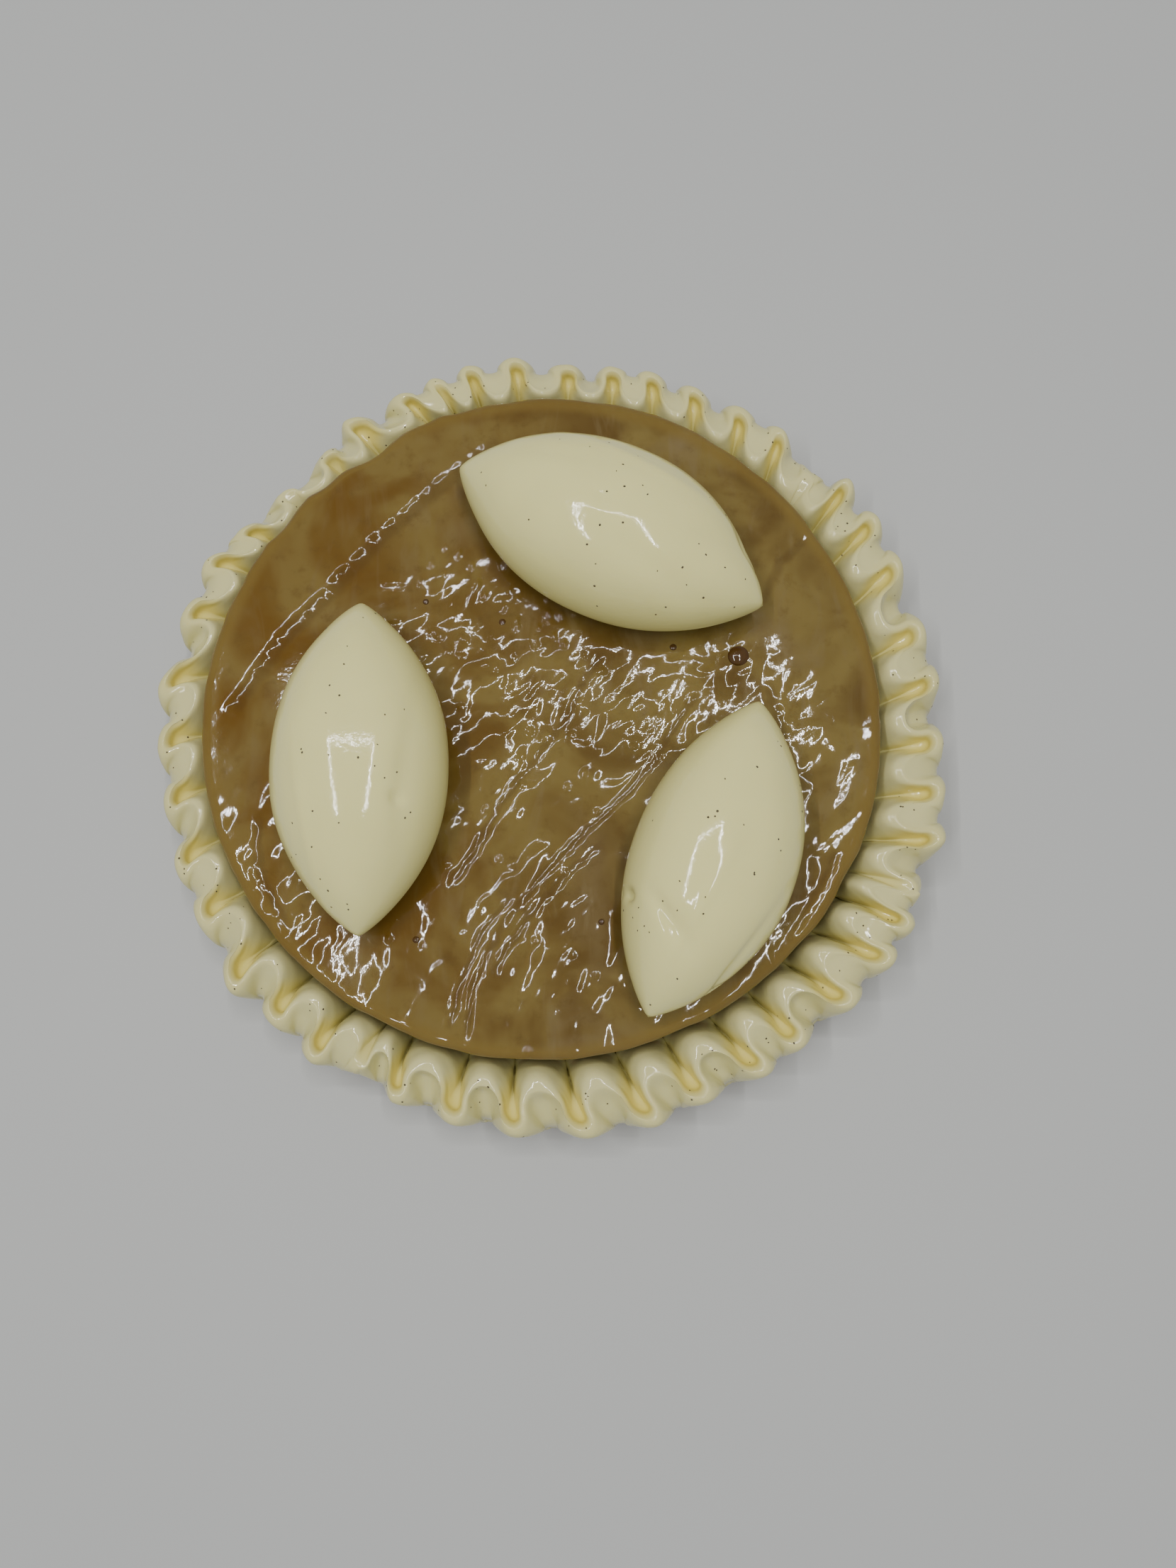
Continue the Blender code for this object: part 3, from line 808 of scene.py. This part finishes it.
def border_mesh(size, fruit):
    """A sheet rolled into a tube round the tart, its rings moved onto the folds' sections."""
    all_folds = piped_folds()
    rings = len(all_folds) * size.sections
    walls = [disc_distance(fruit, math.tau * i / WALL_STEPS) + GAP for i in range(WALL_STEPS)]

    def disc(angle):
        place = angle / math.tau * WALL_STEPS
        first = math.floor(place)
        return blend(walls[first % WALL_STEPS], walls[(first + 1) % WALL_STEPS], place - first)

    bm = bmesh.new()
    bmesh.ops.create_grid(bm, x_segments=rings, y_segments=size.around, size=0.5)
    # This attribute holds the painted shade, the deeper yellow, inside the folds.
    layer = bm.verts.layers.float.new("fold")
    sections = [border_section(size, fruit.radius, disc, all_folds, i / size.sections)
                for i in range(rings)]
    for vert in bm.verts:
        section = sections[round((vert.co.x + 0.5) * rings) % rings]
        place = round((vert.co.y + 0.5) * size.around) % size.around / size.around * len(STATIONS)
        phase = round_curve(section.phases, place)
        root = along_folds(section.fold, section.after, phase)
        wall = disc(root)
        radius = max(round_curve(section.radii, place), wall)
        height = max(round_curve(section.heights, place), CREAM_FLOOR)
        lean = blend(section.fold.lean, section.after.lean, smooth_step(clamp(phase)))
        turn = root + lean * (radius - wall) / (size.tip - wall)
        spot = Vector((radius * math.cos(turn), radius * math.sin(turn), height))
        wobble = noise.noise_vector(spot * 150) * 0.00022 + noise.noise_vector(spot * 420) * 0.00006
        # The skin is still where it lies on the pastry and against the fruit.
        wobble *= clamp((height - CREAM_FLOOR) / 0.004) * clamp((radius - wall) / 0.001)
        vert.co = spot + wobble
        vert[layer] = clamp(round_curve(section.yellows, place))
    bmesh.ops.remove_doubles(bm, verts=bm.verts, dist=1e-8)
    return bm


# ---------------------------------------------------------------- quenelles

# A mark of the spoon: place along and across as shares of the half length and half width, reach
# in millimetres, turn in degrees, and depth in millimetres, which is below 0 for a raised lip.
Mark = namedtuple("Mark", "along across reach_x reach_y turn depth")
# A quenelle: sizes and the middle's place in metres, turn in degrees, and the share of its width
# that is added on the right of its axis and taken off on the left.
Quenelle = namedtuple("Quenelle", "length width height x y turn bulge marks")
POINTED, BLUNT = 2.15, 0.85  # a quenelle's width along it is (1 - along ** POINTED) ** BLUNT
SUNK = 0.0009  # how far the flat underside sinks into the fruit's hollows
AT_TIP = 1e-5  # rings smaller than this are the mesh's poles
QUENELLES = {
    "quenelle_top": Quenelle(0.0830, 0.0440, 0.0330, 0.0147, 0.0463, -26.1, -0.04, (
        Mark(0.62, 0.30, 9, 4, 20, 0.75), Mark(0.30, -0.35, 16, 3, -8, 0.525),
        Mark(-0.05, 0.05, 2.2, 1.6, 0, 0.675), Mark(0.85, 0.55, 7, 1.0, -38, -0.825),
        Mark(0.80, 0.40, 6, 0.8, -38, 1.05), Mark(-0.45, 0.35, 14, 3, 12, 0.45),
        Mark(0.05, 0.65, 20, 1.2, -4, -0.375),
    )),
    "quenelle_left": Quenelle(0.0814, 0.0430, 0.0320, -0.0457, -0.0107, -89.2, 0.0, (
        Mark(0.25, 0.55, 1.6, 1.3, 0, 0.9), Mark(-0.10, 0.10, 12, 5, 0, 0.525),
        Mark(0.35, -0.45, 18, 1.4, 8, -0.375), Mark(0.10, 0.62, 15, 2.2, -6, 0.525),
        Mark(-0.55, -0.2, 10, 4, 10, 0.45),
    )),
    "quenelle_right": Quenelle(0.0797, 0.0395, 0.0315, 0.0366, -0.0330, -110.5, -0.12, (
        Mark(0.38, -0.72, 1.3, 0.9, 30, 1.95), Mark(0.42, -0.25, 5, 1.6, 50, 1.05),
        Mark(0.50, 0.02, 5, 2.4, 40, 0.9), Mark(0.30, 0.1, 14, 1.2, -10, -0.45),
        Mark(0.55, 0.72, 16, 0.9, -16, 0.75), Mark(-0.20, 0.35, 12, 4, 6, 0.525),
    )),
}


def spooned(name):
    """The name of the piece that stands for a quenelle."""
    return name.replace("quenelle", "spooned")


def quenelle_mesh(egg, size):
    """A pointed egg of cream shaped between two spoons, flattened where it lies."""
    bm = bmesh.new()
    bmesh.ops.create_uvsphere(bm, u_segments=size.around, v_segments=size.along, radius=1)
    bmesh.ops.rotate(bm, verts=bm.verts, matrix=Matrix.Rotation(math.pi / 2, 3, "Y"))
    belly = size.belly * egg.height
    seed = egg.x * 900
    for vert in bm.verts:
        along = 2 * math.asin(max(-1, min(1, vert.co.x))) / math.pi
        ring = math.sqrt(max(1 - vert.co.x**2, 1e-12))
        across, up = (0, 0) if ring < AT_TIP else (vert.co.y / ring, vert.co.z / ring)
        girth = (1 - min(abs(along), 1) ** POINTED) ** BLUNT
        side = egg.width / 2 * girth * (1 + egg.bulge * (1 if across < 0 else -1))
        # Above the belly it is a little fuller in height than in width, and below it lies flatter.
        rise = (egg.height - belly) * girth**0.88
        drop = belly * (0.35 + 0.65 * girth)
        spot = Vector((along * egg.length / 2, across * side, 0))
        spot.z = belly + (up * rise if up > 0 else up * drop * girth**0.6)
        bowl = noise_at(spot.x * 38, spot.y * 75, spot.z * 75 + seed)
        dent = size.dent / MM * (0.6 * bowl + 0.25)
        for mark in egg.marks:
            x = (along - mark.along) * egg.length / 2 / MM
            y = (spot.y - mark.across * egg.width / 2) / MM
            turn = math.radians(mark.turn)
            u = (x * math.cos(turn) + y * math.sin(turn)) / mark.reach_x
            v = (y * math.cos(turn) - x * math.sin(turn)) / mark.reach_y
            if up > 0:
                dent += mark.depth * math.exp(-(u**2 + v**2))
        outwards = Vector((0, across, max(up, 0))).normalized()
        spot -= outwards * dent * MM * clamp(girth * 2)
        spot.z = max(spot.z, egg.height * size.flat)
        vert.co = spot
    bmesh.ops.remove_doubles(bm, verts=bm.verts, dist=1e-6)
    lowest = min(vert.co.z for vert in bm.verts)
    for vert in bm.verts:
        if vert.co.z - lowest < 1e-6:
            vert.co.z -= SUNK
    turn = Matrix.Rotation(math.radians(egg.turn), 4, "Z")
    bm.transform(Matrix.Translation((egg.x, egg.y, FRUIT_TOP + GAP - lowest)) @ turn)
    return bm


# ---------------------------------------------------------------- small things

SPECKS_EACH = 32  # vanilla specks on a quenelle
BORDER_TRIES = 230  # places tried on the border
QUENELLE_SPECK = (0.00022, 0.00036)  # smallest and largest radius of a speck
BORDER_SPECK = (0.00020, 0.00034)
BORDER_REACH = (0.087, 0.101)  # the border's specks lie between these distances from the middle
SPECK_FLOOR = CREAM_FLOOR + 0.003  # and above this height


def surface_of(piece):
    """A search tree of a piece's faces."""
    bm = bmesh.new()
    bm.from_mesh(piece.data)
    tree = BVHTree.FromBMesh(bm)
    bm.free()
    return tree


def seen_from_above(tree, x, y):
    """The highest point of a surface at a place, and its normal there, or None twice."""
    return tree.ray_cast(Vector((x, y, RAY_TOP)), Vector((0, 0, -1)))[:2]


def add_speck(bm, chance, hit, normal, radius):
    """A small flattened grain that lies on the surface, turned at random."""
    facing = normal.to_track_quat("Z", "Y").to_matrix().to_4x4()
    spin = Matrix.Rotation(chance.uniform(0, math.tau), 4, "Z")
    flat = Matrix.Diagonal((1, chance.uniform(0.6, 1), 0.45, 1))
    place = Matrix.Translation(hit - normal * radius * 0.1)
    bmesh.ops.create_icosphere(bm, subdivisions=1, radius=radius, matrix=place @ facing @ spin @ flat)


def speck_mesh(border, quenelles):
    """Vanilla seeds, scattered over the cream where it can be seen from above."""
    chance = random.Random(77)
    bm = bmesh.new()
    for piece, egg in quenelles:
        tree = surface_of(piece)
        placed = 0
        while placed < SPECKS_EACH:
            along, across = chance.uniform(-0.95, 0.95), chance.uniform(-1, 1)
            local = Vector((along * egg.length / 2, across * egg.width / 2))
            local.rotate(Matrix.Rotation(math.radians(egg.turn), 2))
            hit, normal = seen_from_above(tree, egg.x + local.x, egg.y + local.y)
            if hit is None:
                continue
            add_speck(bm, chance, hit, normal, chance.uniform(*QUENELLE_SPECK))
            placed += 1
    tree = surface_of(border)
    for _ in range(BORDER_TRIES):
        way = direction(chance.uniform(0, math.tau))
        hit, normal = seen_from_above(tree, *(chance.uniform(*BORDER_REACH) * way))
        if hit is not None and hit.z > SPECK_FLOOR:
            add_speck(bm, chance, hit, normal, chance.uniform(*BORDER_SPECK))
    return bm


# Drops of caramel on the fruit: place and radius in millimetres.
DROPS = ((46.8, 18.0, 2.7), (30.5, 20.5, 0.9), (-32.0, 33.0, 0.8), (-12.5, 27.5, 0.9),
         (12.0, -48.0, 0.8), (-33.0, -52.0, 0.9))


def drop_mesh(fruit):
    """Domes of caramel that lie on the glaze."""
    tree = surface_of(fruit)
    bm = bmesh.new()
    for x, y, radius in DROPS:
        hit, _ = seen_from_above(tree, x * MM, y * MM)
        shape = Matrix.Diagonal((1, 0.95, 0.42, 1))
        place = Matrix.Translation(hit - Vector((0, 0, radius * MM * 0.08)))
        bmesh.ops.create_icosphere(bm, subdivisions=4, radius=radius * MM, matrix=place @ shape)
    return bm


# ---------------------------------------------------------------- operators


class Step:
    """What the operators share: each has a build() that makes its piece, the same every time."""

    def execute(self, context):
        noise.seed_set(NOISE_SEED)
        self.build(context.scene)
        return {"FINISHED"}


class TART_OT_pastry(Step, Operator):
    """Bakes the pastry round that carries everything"""

    bl_idname = "tart.pastry"
    bl_label = "Pastry"

    def build(self, scene):
        bm = pastry_mesh(scene.tart_pastry)
        add_piece("pastry_round", bm, pastry_material(scene.tart_colours), "pastry_base")


class TART_OT_fruit(Step, Operator):
    """Moulds the glazed round of sliced fruit"""

    bl_idname = "tart.fruit"
    bl_label = "Fruit"

    def build(self, scene):
        bm = fruit_mesh(scene.tart_fruit)
        add_piece("fruit_round", bm, fruit_material(scene.tart_colours), "apple_disc")


class TART_OT_border(Step, Operator):
    """Pipes the folded cream border"""

    bl_idname = "tart.border"
    bl_label = "Border"

    def build(self, scene):
        bm = border_mesh(scene.tart_border, scene.tart_fruit)
        material = cream_material("piped_cream", scene.tart_colours, folds=True)
        add_piece("piped_border", bm, material, "cream_ruffle")


class TART_OT_quenelles(Step, Operator):
    """Shapes the three quenelles of cream"""

    bl_idname = "tart.quenelles"
    bl_label = "Quenelles"

    def build(self, scene):
        material = cream_material("spooned_cream", scene.tart_colours)
        for name, egg in QUENELLES.items():
            bm = quenelle_mesh(egg, scene.tart_quenelles)
            add_piece(spooned(name), bm, material, name)


class TART_OT_vanilla(Step, Operator):
    """Scatters vanilla seeds over the cream"""

    bl_idname = "tart.vanilla"
    bl_label = "Vanilla seeds"

    def build(self, scene):
        objects = bpy.data.objects
        eggs = [(objects[spooned(name)], egg) for name, egg in QUENELLES.items()]
        bm = speck_mesh(objects["piped_border"], eggs)
        add_piece("vanilla_seeds", bm, vanilla_material(scene.tart_colours), None)


class TART_OT_caramel(Step, Operator):
    """Sets the drops of caramel on the fruit"""

    bl_idname = "tart.caramel"
    bl_label = "Caramel drops"

    def build(self, scene):
        bm = drop_mesh(bpy.data.objects["fruit_round"])
        material = caramel_material(scene.tart_colours)
        add_piece("caramel_drops", bm, material, None)


# The light strips that hang over the table: the middle's x and y, length along x and along y (0
# stands for the strips' width), and the share of the power for each metre.
LIGHT_STRIPS = {
    "left": (-0.43, -0.05, 0.0, 0.72, 1.0),
    "rear": (-0.09, 0.31, 0.66, 0.0, 0.6),
    "right": (0.24, -0.05, 0.0, 0.72, 1.0),
}
LAMP_TINT = (1.0, 0.98, 0.96)
SKY_TINT = (0.97, 0.985, 1.0, 1)
TABLE_HALF = 4  # metres from the middle of the table to its edge
CAMERA_PLACE = (0.0137, -0.0586, 0.3172)
CAMERA_TURN = (8.8, 1.01, -0.34)  # degrees
LENS, SENSOR = 27.03, 36  # millimetres


class TART_OT_stage(Step, Operator):
    """Sets the table, the soft light, the light strips and the camera"""

    bl_idname = "tart.stage"
    bl_label = "Stage"

    def build(self, scene):
        stage = scene.tart_stage
        bm = bmesh.new()
        bmesh.ops.create_grid(bm, x_segments=24, y_segments=24, size=TABLE_HALF)
        mesh = bpy.data.meshes.new("table")
        bm.to_mesh(mesh)
        bm.free()
        made = Shader("table_top")
        grain = made.cloud(made.place(), 6, detail=3.0)
        mesh.materials.append(made.finish(
            Base_Color=made.mix(stage.floor, times(stage.floor, 0.97), grain),
            Roughness=0.55 + 0.1 * grain,
        ))
        table = bpy.data.objects.new("table", mesh)
        scene.collection.objects.link(table)

        world = bpy.data.worlds.new("soft_light")
        world.use_nodes = True
        sky = world.node_tree.nodes["Background"]
        sky.inputs["Color"].default_value = SKY_TINT
        sky.inputs["Strength"].default_value = stage.soft
        scene.world = world

        for name, (x, y, size_x, size_y, power) in LIGHT_STRIPS.items():
            light = bpy.data.lights.new("strip_" + name, "AREA")
            light.shape = "RECTANGLE"
            light.size = size_x or stage.width
            light.size_y = size_y or stage.width
            light.energy = stage.strip * (size_x + size_y) * power
            light.color = LAMP_TINT
            lamp = bpy.data.objects.new("strip_" + name, light)
            lamp.location = (x, y, stage.height)
            lamp.visible_camera = False
            scene.collection.objects.link(lamp)

        view = bpy.data.cameras.new("camera")
        view.lens = LENS
        view.sensor_width = SENSOR
        camera = bpy.data.objects.new("camera", view)
        camera.location = CAMERA_PLACE
        camera.rotation_euler = Euler([math.radians(angle) for angle in CAMERA_TURN])
        scene.collection.objects.link(camera)
        scene.camera = camera


class TART_PT_tart(Panel):
    """Lists the tart's pieces"""

    bl_idname = "TART_PT_tart"
    bl_label = "Tarte tatin"
    bl_space_type = "VIEW_3D"
    bl_region_type = "UI"
    bl_category = "Tart"

    def draw(self, context):
        scene = context.scene
        for step in STEPS:
            self.layout.operator(step.bl_idname)
        for group in GROUPS:
            box = self.layout.box()
            box.label(text=group.replace("tart_", "").title())
            settings = getattr(scene, group)
            for name in settings.__annotations__:
                box.prop(settings, name)


STEPS = (TART_OT_pastry, TART_OT_fruit, TART_OT_border, TART_OT_quenelles, TART_OT_vanilla,
         TART_OT_caramel, TART_OT_stage)
GROUPS = {
    "tart_pastry": TartPastrySizes,
    "tart_fruit": TartFruitSizes,
    "tart_border": TartBorderSizes,
    "tart_quenelles": TartQuenelleSizes,
    "tart_colours": TartColours,
    "tart_stage": TartStage,
}
CLASSES = (*GROUPS.values(), *STEPS, TART_PT_tart)


def register():
    for cls in CLASSES:
        bpy.utils.register_class(cls)
    for name, group in GROUPS.items():
        setattr(bpy.types.Scene, name, PointerProperty(type=group))


def unregister():
    for name in GROUPS:
        delattr(bpy.types.Scene, name)
    for cls in reversed(CLASSES):
        bpy.utils.unregister_class(cls)


def main():
    register()
    bpy.ops.tart.pastry()
    bpy.ops.tart.fruit()
    bpy.ops.tart.border()
    bpy.ops.tart.quenelles()
    bpy.ops.tart.vanilla()
    bpy.ops.tart.caramel()
    bpy.ops.tart.stage()


if __name__ == "__main__":
    main()
